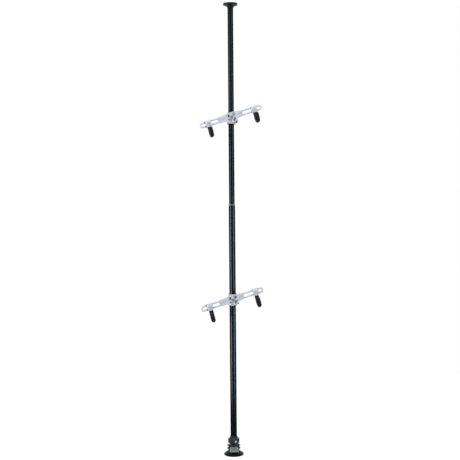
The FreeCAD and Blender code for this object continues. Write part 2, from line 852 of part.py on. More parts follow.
def bracket_half(place, front):
    """One half of a carriage, clamped on both rails by the hook's bolt."""
    depth = rod_plane()
    sign = -1 if front else 1
    face = depth + sign * seat_gap
    back = depth + sign * bracket_half_depth
    low = (place - bracket_half_width, min(face, back), -bracket_half_height)
    high = (place + bracket_half_width, max(face, back), bracket_half_height)
    body = box(low, high)
    body = body.makeFillet(bracket_corner, edges_along(body, Y_AXIS))
    body = body.makeFillet(bracket_edge, edges_at_depth(body, back))
    seat = bracket_half_depth + hook_seat
    if front:
        boss = cylinder(hook_eye_radius, bracket_half_depth - bracket_edge, seat, Y_AXIS * -1,
                        V(place, depth, 0))
        body = fused([body, boss])
    for height in (-rod_spacing / 2, rod_spacing / 2):
        groove = cylinder(rod_radius + running_gap, place - bracket_half_width - 1,
                          place + bracket_half_width + 1, X_AXIS, V(0, depth, height))
        body = body.cut(groove)
    return body.cut(cylinder(hook_bolt_radius, -seat - 1, seat + 1, Y_AXIS, V(place, depth, 0)))


def hook_plane():
    """The depth of the hook's stem."""
    seat = rod_plane() - bracket_half_depth - hook_seat - seat_gap
    return seat - hook_eye_thickness / 2


def bracket_bolt(place):
    """Bolt through the hook's eye and both halves of the carriage, with its nut."""
    depth = rod_plane()
    front = depth - (hook_plane() - hook_eye_thickness / 2 - seat_gap)
    axis = Y_AXIS * -1
    centre = V(place, depth, 0)
    end = front + hook_head_height
    nut_end = bracket_half_depth + hook_nut_height
    shank = cylinder(hook_bolt_radius, -nut_end, front, axis, centre)
    head = cylinder(bolt_head_radius, front, end, axis, centre)
    head = head.makeFillet(bolt_head_edge, circles_at(head, bolt_head_radius, centre + axis * end))
    nut = cylinder(hook_nut_radius, -nut_end, -bracket_half_depth, axis, centre)
    socket = cylinder(bolt_socket_radius, end - bolt_socket_depth, end, axis, centre)
    return fused([shank, head, nut]).cut(socket)


def hook_bar(radius, place, top, end):
    """A round bar down behind the cradle, forward under it and up to the lip's end."""
    rear = hook_plane()
    lip = rear - cradle_depth
    bend = cradle_bend
    turn_height = cradle_floor + bend
    pieces = [
        cylinder(radius, turn_height, top, Z_AXIS, V(place, rear, 0)),
        cylinder(radius, turn_height, end, Z_AXIS, V(place, lip, 0)),
        cylinder(radius, -rear + bend, -lip - bend, Y_AXIS * -1, V(place, 0, cradle_floor)),
    ]
    for start, centre_y, angle in ((rear, rear - bend, 90), (lip, lip + bend, -90)):
        face = Part.Face(Part.Wire([Part.makeCircle(radius, V(place, start, turn_height), Z_AXIS)]))
        pieces.append(face.revolve(V(place, centre_y, turn_height), X_AXIS, -angle))
    return fused(pieces)


def cradle_hook(place):
    """Forged steel hook with the eye that it swings on."""
    rear = hook_plane()
    half = hook_eye_thickness / 2
    top = -hook_bar_start
    centre = V(place, rear, 0)
    eye = cylinder(hook_eye_radius, -half, half, Y_AXIS, centre)
    bar = hook_bar(hook_rod_radius, place, top, lip_top - hook_bar_end)
    body = fused([eye, bar])
    reach = hook_eye_radius + hook_rod_radius
    for face in (rear - half - hook_rod_radius, rear + half):
        flat = box((place - reach, face, -reach), (place + reach, face + hook_rod_radius, reach))
        body = body.cut(flat)
    return body.cut(cylinder(hook_bolt_radius + running_gap, -half - 1, half + 1, Y_AXIS, centre))


def hook_rubber(place):
    """Thick rubber sleeve on the hook, closed over the end of its lip."""
    sleeve = hook_bar(rubber_radius, place, rubber_top, lip_top)
    rear = hook_plane()
    lip_end = V(place, rear - cradle_depth, lip_top)
    sleeve = sleeve.makeFillet(rubber_end_round, circles_at(sleeve, rubber_radius, lip_end))
    top_rim = circles_at(sleeve, rubber_radius, V(place, rear, rubber_top))
    sleeve = sleeve.makeFillet(rubber_top_round, top_rim)
    return sleeve.cut(hook_bar(hook_rod_radius, place, rubber_top + rubber_mouth, lip_top - hook_bar_end))


def build_mount(name):
    """All the pieces of one mount, placed at its height and its tilt."""
    height = mount_heights[name]
    lift = FreeCAD.Placement(V(0, 0, height), FreeCAD.Rotation())
    tilt = FreeCAD.Placement(V(0, 0, -pivot_drop), FreeCAD.Rotation(Y_AXIS, -arm_tilt),
                             V(0, 0, 0))
    drop = FreeCAD.Placement(V(0, 0, pivot_drop), FreeCAD.Rotation())
    arm_place = lift.multiply(tilt.multiply(drop))

    def put(piece, shape, placement):
        moved = shape.copy()
        moved.Placement = placement.multiply(moved.Placement)
        save(name + "_" + piece, moved)

    put("sleeve", mount_sleeve(mount_radii[name]), lift)
    put("clamp_body", clamp_body(), lift)
    put("clamp_bolt", clamp_bolt(), lift)
    put("clamp_lever", clamp_lever(), lift)
    put("tilt_bolt", tilt_bolt(), lift)
    put("arm_frame", arm_frame(), arm_place)
    for side, place in carriage_places.items():
        put(side + "_rods", arm_rods(side), arm_place)
        put(side + "_bracket_front", bracket_half(place, True), arm_place)
        put(side + "_bracket_back", bracket_half(place, False), arm_place)
        put(side + "_bracket_bolt", bracket_bolt(place), arm_place)
        swing = FreeCAD.Placement(V(place, 0, 0), FreeCAD.Rotation(Y_AXIS, hook_swing), V(0, 0, 0))
        centre = FreeCAD.Placement(V(-place, 0, 0), FreeCAD.Rotation())
        hook_place = arm_place.multiply(swing.multiply(centre))
        put(side + "_hook", cradle_hook(place), hook_place)
        put(side + "_hook_rubber", hook_rubber(place), hook_place)


def build_pole():
    """The foot, the adjuster, the two tubes and the ceiling end."""
    save("floor_pad", floor_pad())
    save("base_housing", base_housing())
    save("base_flange", base_flange())
    save("flange_screws", flange_screws())
    save("guide_bush", guide_bush())
    save("pivot_pin", pivot_pin())
    save("pivot_knobs", pivot_knobs())
    save("foot_pedal", foot_pedal())
    save("pedal_tread", pedal_tread())
    save("lift_stem", lift_stem())
    save("adjuster_collar", adjuster_collar())
    save("collar_screw", collar_screw())
    save("tube_foot", tube_foot())
    save("lower_tube", lower_tube())
    save("tube_bushing", tube_bushing())
    save("height_lock_boss", height_lock_boss())
    save("height_lock_knob", height_lock_knob())
    save("upper_tube", upper_tube())
    save("inner_guide", inner_guide())
    save("ceiling_foot", ceiling_foot())
    save("ceiling_screw", ceiling_screw())
    save("ceiling_pad", ceiling_pad())


build_pole()
for mount_name in mount_heights:
    build_mount(mount_name)
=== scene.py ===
"""Looks for a floor-to-ceiling pole with two cradle arms: finishes, trim, light and camera."""

import logging
import math
from dataclasses import dataclass
from enum import Enum

import bmesh
import bpy
from mathutils import Matrix, Vector

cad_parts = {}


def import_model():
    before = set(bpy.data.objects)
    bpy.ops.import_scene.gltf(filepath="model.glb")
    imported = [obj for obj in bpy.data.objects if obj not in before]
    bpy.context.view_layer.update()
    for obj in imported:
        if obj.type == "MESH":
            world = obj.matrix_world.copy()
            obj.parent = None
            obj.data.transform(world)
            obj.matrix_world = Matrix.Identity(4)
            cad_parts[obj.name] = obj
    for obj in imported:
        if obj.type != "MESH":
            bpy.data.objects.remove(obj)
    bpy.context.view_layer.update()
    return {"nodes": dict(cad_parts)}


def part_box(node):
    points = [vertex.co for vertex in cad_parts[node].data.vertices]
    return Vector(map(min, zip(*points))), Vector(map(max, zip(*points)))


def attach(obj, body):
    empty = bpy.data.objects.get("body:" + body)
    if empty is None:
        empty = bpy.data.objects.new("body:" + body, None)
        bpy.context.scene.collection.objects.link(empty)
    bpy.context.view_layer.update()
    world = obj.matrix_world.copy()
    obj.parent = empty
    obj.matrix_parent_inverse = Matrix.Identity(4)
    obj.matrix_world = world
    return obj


LOG = logging.getLogger("tension_pole")
MM = 0.001
# Places of the colour sockets on a Mix node that blends two colours
MIX_FIRST, MIX_SECOND, MIX_RESULT = 6, 7, 2
# The middle of a noise's output, where nearly all of its values lie
NOISE_LOW, NOISE_HIGH = 0.3, 0.7
# The broad mottle is cloudier than the fine grain
MOTTLE_DETAIL, MOTTLE_ROUGHNESS = 3.0, 0.55
GRAIN_ROUGHNESS = 0.5
# Pointiness where rubbing starts, just above a flat face's 0.5, and where it is full
WEAR_LOW, WEAR_HIGH = 0.52, 0.6


def linear(hex_colour: str) -> tuple[float, float, float, float]:
    """Turn an sRGB hex colour into linear RGBA.

    Args:
        hex_colour: Colour as six hex digits with a leading hash.

    Returns:
        Linear red, green, blue and an alpha of one.
    """
    parts = [int(hex_colour[i : i + 2], 16) / 255 for i in (1, 3, 5)]
    red, green, blue = [c / 12.92 if c <= 0.04045 else ((c + 0.055) / 1.055) ** 2.4 for c in parts]
    return red, green, blue, 1.0


def add_node(
    tree: bpy.types.NodeTree,
    kind: str,
    settings: dict[str, object],
    links: dict[str | int, bpy.types.NodeSocket],
) -> bpy.types.Node:
    """Add a shader node, set its values and link its inputs.

    Args:
        tree: Node tree that takes the node.
        kind: Blender's type name of the node.
        settings: Node attributes by name, and socket values by a name that starts with "in:".
        links: Output sockets that feed this node, by the name or place of its input.

    Returns:
        The new node.
    """
    node = tree.nodes.new(kind)
    for name, value in settings.items():
        if name.startswith("in:"):
            node.inputs[name[3:]].default_value = value
        else:
            setattr(node, name, value)
    for name, socket in links.items():
        tree.links.new(socket, node.inputs[name])
    return node


@dataclass(frozen=True)
class Finish:
    """A painted, moulded or machined surface.

    The two colours are blended by a broad mottle, and a fine grain drives roughness and bump.
    The grain of moulded, plated and oxidised skins is really 0.1 to 0.4 mm. It is drawn at 0.6 to
    1.1 mm, so that it shows in a close view. A stretch draws the grain out into lines.
    """

    name: str
    colour: str
    second: str
    roughness: float
    rough_spread: float
    grain_mm: float
    bump_mm: float
    mottle_mm: float = 60.0
    metallic: float = 0.0
    specular: float = 0.5
    edge_tint: str = "#ffffff"
    stretch: tuple[float, float, float] = (1.0, 1.0, 1.0)
    detail: float = 2.0
    mottle_share: float = 0.5
    wear: str = ""
    wear_share: float = 0.0

    def material(self) -> bpy.types.Material:
        """Return the material of this finish, built on first use."""
        made = bpy.data.materials.get(self.name)
        return made if made else self.build()

    def build(self) -> bpy.types.Material:
        """Build the node graph.

        Returns:
            The new material.
        """
        material = bpy.data.materials.new(self.name)
        material.use_nodes = True
        tree = material.node_tree
        tree.nodes.clear()
        place = add_node(tree, "ShaderNodeTexCoord", {}, {}).outputs["Object"]
        mapped = add_node(tree, "ShaderNodeMapping", {"in:Scale": self.stretch}, {"Vector": place})
        mottle = add_node(
            tree,
            "ShaderNodeTexNoise",
            {
                "in:Scale": 1 / (self.mottle_mm * MM),
                "in:Detail": MOTTLE_DETAIL,
                "in:Roughness": MOTTLE_ROUGHNESS,
            },
            {"Vector": place},
        )
        grain = add_node(
            tree,
            "ShaderNodeTexNoise",
            {
                "in:Scale": 1 / (self.grain_mm * MM),
                "in:Detail": self.detail,
                "in:Roughness": GRAIN_ROUGHNESS,
            },
            {"Vector": mapped.outputs["Vector"]},
        )
        blend = add_node(
            tree,
            "ShaderNodeMapRange",
            {"in:From Min": NOISE_LOW, "in:From Max": NOISE_HIGH, "in:To Max": self.mottle_share},
            {"Value": mottle.outputs["Fac"]},
        )
        colour = add_node(
            tree,
            "ShaderNodeMix",
            {"data_type": "RGBA"},
            {"Factor": blend.outputs["Result"]},
        )
        colour.inputs[MIX_FIRST].default_value = linear(self.colour)
        colour.inputs[MIX_SECOND].default_value = linear(self.second)
        shade = colour.outputs[MIX_RESULT]
        if self.wear_share:
            shade = self.add_wear(tree, shade)
        rough = add_node(
            tree,
            "ShaderNodeMapRange",
            {
                "in:From Min": NOISE_LOW,
                "in:From Max": NOISE_HIGH,
                "in:To Min": self.roughness - self.rough_spread,
                "in:To Max": self.roughness + self.rough_spread,
            },
            {"Value": grain.outputs["Fac"]},
        )
        bump = add_node(
            tree,
            "ShaderNodeBump",
            {"in:Strength": 1.0, "in:Distance": self.bump_mm * MM},
            {"Height": grain.outputs["Fac"]},
        )
        shader = add_node(
            tree,
            "ShaderNodeBsdfPrincipled",
            {
                "in:Metallic": self.metallic,
                "in:Specular IOR Level": self.specular,
                "in:Specular Tint": linear(self.edge_tint),
            },
            {
                "Base Color": shade,
                "Roughness": rough.outputs["Result"],
                "Normal": bump.outputs["Normal"],
            },
        )
        add_node(tree, "ShaderNodeOutputMaterial", {}, {"Surface": shader.outputs["BSDF"]})
        return material

    def add_wear(
        self, tree: bpy.types.NodeTree, shade: bpy.types.NodeSocket
    ) -> bpy.types.NodeSocket:
        """Rub the colour towards the wear colour on raised edges.

        Args:
            tree: Node tree of the material.
            shade: Colour before the wear.

        Returns:
            The colour socket with the wear.
        """
        pointy = add_node(tree, "ShaderNodeNewGeometry", {}, {}).outputs["Pointiness"]
        edge = add_node(
            tree,
            "ShaderNodeMapRange",
            {"in:From Min": WEAR_LOW, "in:From Max": WEAR_HIGH, "in:To Max": self.wear_share},
            {"Value": pointy},
        )
        worn = add_node(
            tree,
            "ShaderNodeMix",
            {"data_type": "RGBA"},
            {"Factor": edge.outputs["Result"]},
        )
        worn.inputs[MIX_SECOND].default_value = linear(self.wear)
        tree.links.new(shade, worn.inputs[MIX_FIRST])
        return worn.outputs[MIX_RESULT]


# Polyester powder coat on steel tube: gloss black that mirrors dimly and stays dark at its rim.
# It is set as a metal with a dark edge tint, because plain gloss turns pale there in a white room
POWDER_BLACK = Finish(
    "gloss_powder_black", colour="#111518", second="#151a1d",
    roughness=0.22, rough_spread=0.01, grain_mm=8.0, bump_mm=0.0,
    mottle_mm=150, metallic=1.0, edge_tint="#707070",
)
# Satin silver paint on an aluminium casting: soft sheen with a trace of cast grain
CAST_SILVER = Finish(
    "cast_silver_paint", colour="#c6ccd5", second="#b7bec9",
    roughness=0.52, rough_spread=0.04, grain_mm=1.2, bump_mm=0.012,
    mottle_mm=40, metallic=0.2, specular=0.35,
)
# The same paint on the small pressed brackets, in a lighter copy that paints light over their
# shade
LIT_BRACKET_SILVER = Finish(
    "bracket_silver_paint_lit", colour="#dde2e9", second="#d2d8e0",
    roughness=0.5, rough_spread=0.04, grain_mm=1.2, bump_mm=0.008,
    mottle_mm=30, metallic=0.15, specular=0.35,
)
# The same paint on drawn steel rod: smoother and a little brighter
ROD_SILVER = Finish(
    "rod_silver_paint", colour="#c9cfd8", second="#bec5cf",
    roughness=0.42, rough_spread=0.04, grain_mm=2.0, bump_mm=0.006,
    mottle_mm=50, metallic=0.3, specular=0.35,
)
# Moulded natural rubber: dull black with fine mould texture and a grey bloom
RUBBER = Finish(
    "moulded_rubber", colour="#0a0d10", second="#101317",
    roughness=0.45, rough_spread=0.06, grain_mm=0.9, bump_mm=0.02,
    mottle_mm=25, specular=0.14,
)
# Rubber foot pressed in a polished mould: blacker, with a faint sheen along its rim
FOOT_RUBBER = Finish(
    "pressed_foot_rubber", colour="#080b0c", second="#0e1214",
    roughness=0.34, rough_spread=0.05, grain_mm=1.1, bump_mm=0.012,
    mottle_mm=30, specular=0.13, edge_tint="#b9d0d6",
)
# Glass-filled nylon from a spark-eroded mould: blue-black with a fine even grain
NYLON_BLACK = Finish(
    "moulded_nylon", colour="#11161c", second="#171d25",
    roughness=0.36, rough_spread=0.05, grain_mm=0.6, bump_mm=0.015,
    mottle_mm=30, specular=0.17,
)
# The same nylon from a smoother mould: the hand nut's lobes shine blue-grey towards the light
NUT_NYLON = Finish(
    "moulded_nut_nylon", colour="#1a2127", second="#242d34",
    roughness=0.27, rough_spread=0.03, grain_mm=0.9, bump_mm=0.004,
    mottle_mm=30, specular=0.36, edge_tint="#cddbe6",
)
# Acetal lip ring: smooth dark grey whose rounded edge catches the lamps
ACETAL_GREY = Finish(
    "moulded_acetal", colour="#80858a", second="#767b80",
    roughness=0.24, rough_spread=0.03, grain_mm=1.0, bump_mm=0.0,
    mottle_mm=20,
)
# Zinc plate in a darker copy that paints shade into it: mid grey metal with fine lengthwise
# polishing marks
SHADE_DARKENED_ZINC = Finish(
    "shade_darkened_zinc_plate", colour="#8d9195", second="#797d82",
    roughness=0.32, rough_spread=0.08, grain_mm=0.8, bump_mm=0.01,
    mottle_mm=15, metallic=1.0, stretch=(1.0, 6.0, 6.0), detail=3.0,
)
# Zinc on the nut's lock screw, a lit copy lightened to near white that paints a glint against the
# black lobes
GLINT_ZINC = Finish(
    "glint_zinc_plate", colour="#e6eaee", second="#d6dbe0",
    roughness=0.24, rough_spread=0.04, grain_mm=0.8, bump_mm=0.004,
    mottle_mm=8, metallic=1.0,
)
# Passivated steel bolt: light satin grey, darker only in its socket's shade
BOLT_GREY = Finish(
    "passivated_steel", colour="#c2c7cd", second="#b2b7bd",
    roughness=0.4, rough_spread=0.05, grain_mm=0.6, bump_mm=0.008,
    mottle_mm=10, metallic=0.4, specular=0.35,
)
# Black oxide on forged steel: dark with a dry metallic sheen, rubbed at the edges
BLACK_OXIDE = Finish(
    "black_oxide_steel", colour="#111315", second="#1a1d20",
    roughness=0.38, rough_spread=0.06, grain_mm=0.7, bump_mm=0.01,
    mottle_mm=18, metallic=0.35, specular=0.25, wear="#43474b", wear_share=0.2,
)
# Sand-cast pedal arms: warm grey metal with a coarse skin
CAST_GREY = Finish(
    "sand_cast_grey", colour="#a9aca8", second="#8f938f",
    roughness=0.5, rough_spread=0.08, grain_mm=0.9, bump_mm=0.12,
    mottle_mm=12, metallic=0.35, wear="#cfd2d0", wear_share=0.4,
)
# Gritty grip on the pedal: mid grey with a rough knobbly skin
GRIT_GREY = Finish(
    "gritty_grip_grey", colour="#8f948f", second="#6f7470",
    roughness=0.7, rough_spread=0.08, grain_mm=1.6, bump_mm=0.35,
    mottle_mm=4, detail=4.0, mottle_share=0.9,
)


class Side(Enum):
    """Which end of an arm a piece belongs to."""

    LEFT = "left"
    RIGHT = "right"


class Level(Enum):
    """Which of the two mounts a piece belongs to."""

    LOWER = "lower"
    UPPER = "upper"


# Finish of each node: the pole's own, those of each mount, and those on each end of its arm
POLE_FINISHES: dict[str, Finish] = {
    "floor_pad": FOOT_RUBBER,
    "base_housing": BLACK_OXIDE,
    "base_flange": BLACK_OXIDE,
    "flange_screws": BLACK_OXIDE,
    "guide_bush": NYLON_BLACK,
    "pivot_pin": SHADE_DARKENED_ZINC,
    "pivot_knobs": NYLON_BLACK,
    "foot_pedal": CAST_GREY,
    "pedal_tread": GRIT_GREY,
    "lift_stem": SHADE_DARKENED_ZINC,
    "adjuster_collar": NUT_NYLON,
    "collar_screw": GLINT_ZINC,
    "tube_foot": NYLON_BLACK,
    "lower_tube": POWDER_BLACK,
    "tube_bushing": ACETAL_GREY,
    "height_lock_boss": POWDER_BLACK,
    "height_lock_knob": NYLON_BLACK,
    "upper_tube": POWDER_BLACK,
    "inner_guide": NYLON_BLACK,
    "ceiling_foot": NYLON_BLACK,
    "ceiling_screw": SHADE_DARKENED_ZINC,
    "ceiling_pad": RUBBER,
}
MOUNT_FINISHES: dict[str, Finish] = {
    "sleeve": NYLON_BLACK,
    "clamp_body": CAST_SILVER,
    "clamp_bolt": SHADE_DARKENED_ZINC,
    "clamp_lever": BLACK_OXIDE,
    "tilt_bolt": SHADE_DARKENED_ZINC,
    "arm_frame": CAST_SILVER,
}
ARM_FINISHES: dict[str, Finish] = {
    "rods": ROD_SILVER,
    "bracket_front": LIT_BRACKET_SILVER,
    "bracket_back": LIT_BRACKET_SILVER,
    "bracket_bolt": BOLT_GREY,
    "hook": ROD_SILVER,
    "hook_rubber": RUBBER,
}
# Nodes whose curves carry the soft streaks of the strip lamps
STREAKED = ("lower_tube", "upper_tube", "tube_bushing", "adjuster_collar")


class MeshMaker:
    """Turns bmesh shapes into finished pieces that ride on the frame."""

    # Edges sharper than the first stay crisp, and points nearer than the second are one
    SHARP_DEG: float = 35.0
    MERGE_M: float = 1e-6

    @staticmethod
    def piece(mesh: bmesh.types.BMesh, name: str, finish: Finish, body: str) -> bpy.types.Object:
        """Make an object from a bmesh and let it ride on a body.

        Args:
            mesh: Finished shape in metres, in the frame's own place.
            name: Name of the piece.
            finish: Surface of the piece.
            body: Body of the frame that carries it.

        Returns:
            The new object.
        """
        bmesh.ops.recalc_face_normals(mesh, faces=mesh.faces[:])
        data = bpy.data.meshes.new(name)
        mesh.to_mesh(data)
        mesh.free()
        data.shade_smooth()
        data.set_sharp_from_angle(angle=math.radians(MeshMaker.SHARP_DEG))
        thing = bpy.data.objects.new(name, data)
        bpy.context.scene.collection.objects.link(thing)
        thing.data.materials.append(finish.material())
        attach(thing, body)
        LOG.info("piece %s rides on %s", name, body)
        return thing

    @staticmethod
    def lathe(
        mesh: bmesh.types.BMesh, profile: list[tuple[float, float]], place: Matrix, steps: int
    ) -> None:
        """Spin a profile about the local Z axis.

        Args:
            mesh: Bmesh that takes the shape.
            profile: Radius and height pairs in millimetres, in order round the closed outline.
            place: Where the local frame stands.
            steps: Number of segments round the axis.
        """
        points = [mesh.verts.new((radius * MM, 0, height * MM)) for radius, height in profile]
        edges = [mesh.edges.new(pair) for pair in zip(points, points[1:] + points[:1])]
        bmesh.ops.spin(
            mesh,
            geom=points + edges,
            cent=(0, 0, 0),
            axis=(0, 0, 1),
            angle=math.tau,
            steps=steps,
            use_merge=True,
        )
        fresh = [v for v in mesh.verts if not v.tag]
        bmesh.ops.remove_doubles(mesh, verts=fresh, dist=MeshMaker.MERGE_M)
        fresh = [v for v in mesh.verts if not v.tag]
        bmesh.ops.transform(mesh, matrix=place, verts=fresh)
        for vertex in fresh:
            vertex.tag = True


@dataclass
class PedalGrip:
    """Rows of small blunt studs on the pedal's grip, as on a cast foot plate.

    Every second row is shifted by half a stud's spacing. A stud is half sunk in the grip.
    """

    rows: int = 7
    columns: int = 13
    first_column: float = 0.25
    row_shift: float = 0.5
    stud_mm: float = 1.05
    stud_taper: float = 0.6
    stud_depth_mm: float = 0.96
    stud_sides: int = 8
    edge_mm: float = 5.0
    tread_mm: float = 3.0
    slope_deg: float = 39.8

    def build(self) -> bpy.types.Object:
        """Build the studs square to the grip's sloping face.

        Returns:
            All the studs as one piece.
        """
        low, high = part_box("pedal_tread")
        slope = math.radians(self.slope_deg)
        up = Vector((0, -math.sin(slope), math.cos(slope)))
        top = Vector((0, high.y + up.y * self.tread_mm * MM, high.z))
        bottom = Vector((0, low.y, low.z + up.z * self.tread_mm * MM))
        turn = Matrix.Rotation(slope, 4, "X")
        mesh = bmesh.new()
        half = (high.x - low.x) / 2 - self.edge_mm * MM
        for row in range(self.rows):
            share = (row + 0.5) / self.rows
            middle = top.lerp(bottom, share)
            for column in range(self.columns):
                spot = column + self.first_column + (row % 2) * self.row_shift
                across = -half + 2 * half * spot / self.columns
                centre = Vector((across, middle.y, middle.z))
                bmesh.ops.create_cone(
                    mesh,
                    cap_ends=True,
                    segments=self.stud_sides,
                    radius1=self.stud_mm * MM,
                    radius2=self.stud_mm * self.stud_taper * MM,
                    depth=self.stud_depth_mm * MM,
                    matrix=Matrix.Translation(centre) @ turn,
                )
        return MeshMaker.piece(mesh, "pedal_studs", GRIT_GREY, "pedal")


@dataclass
class Pole:
    """The foot, the adjuster, the two tubes and the ceiling end."""

    # The wall's width, thickness and distance behind the axis, its lower edge and its rounding
    wall_mm: tuple[float, float, float] = (54.6, 1.8, 11.2)
    wall_foot_mm: float = 24.0
    wall_round_mm: float = 0.5
    wall_round_steps: int = 3
    # Radii of the rings, and radius and facets of the bead that each is spun from
    rib_radii_mm: tuple[float, ...] = (43.0, 48.5, 54.0)
    rib_mm: float = 0.9
    rib_sides: int = 10
    rib_steps: int = 72
    # Radius and height of the rubber cone at its foot and at its crown
    pad_cone_mm: tuple[tuple[float, float], tuple[float, float]] = ((58.0, 10.0), (39.0, 21.0))

    def dress(self, nodes: dict[str, bpy.types.Object]) -> None:
        """Give the pole's nodes their finishes.

        Args:
            nodes: The frame's nodes by name.
        """
        for name, finish in POLE_FINISHES.items():
            set_finish(nodes[name], finish)

    def build(self) -> None:
        """Add the trim that the solids leave out."""
        self.pad_ribs()
        self.housing_wall()
        PedalGrip().build()

    def housing_wall(self) -> bpy.types.Object:
        """Build the thin wall behind the cams that closes the housing between its cheeks.

        Returns:
            The wall.
        """
        width, thick, front = self.wall_mm
        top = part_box("base_flange")[0].z / MM
        foot = self.wall_foot_mm
        mesh = bmesh.new()
        bmesh.ops.create_cube(mesh, size=1.0)
        size = (width * MM, thick * MM, (top - foot) * MM)
        bmesh.ops.scale(mesh, vec=size, verts=mesh.verts[:])
        middle = (0, (front + thick / 2) * MM, (top + foot) / 2 * MM)
        bmesh.ops.translate(mesh, vec=middle, verts=mesh.verts[:])
        upright = [
            edge for edge in mesh.edges if abs(edge.verts[0].co.z - edge.verts[1].co.z) > MM
        ]
        bmesh.ops.bevel(
            mesh,
            geom=upright,
            offset=self.wall_round_mm * MM,
            affect="EDGES",
            segments=self.wall_round_steps,
            profile=0.5,
            material=-1,
        )
        return MeshMaker.piece(mesh, "housing_wall", BLACK_OXIDE, "base")

    def pad_ribs(self) -> bpy.types.Object:
        """Build the raised rings on the cone of the rubber foot.

        Returns:
            The rings as one piece.
        """
        (foot, foot_height), (crown, crown_height) = self.pad_cone_mm
        angles = [step * math.tau / self.rib_sides for step in range(self.rib_sides)]
        mesh = bmesh.new()
        for radius in self.rib_radii_mm:
            height = foot_height + (foot - radius) / (foot - crown) * (crown_height - foot_height)
            bead = [
                (radius + self.rib_mm * math.cos(angle), height + self.rib_mm * math.sin(angle))
                for angle in angles
            ]
            MeshMaker.lathe(mesh, bead, Matrix.Identity(4), self.rib_steps)
        return MeshMaker.piece(mesh, "pad_ribs", FOOT_RUBBER, "base")


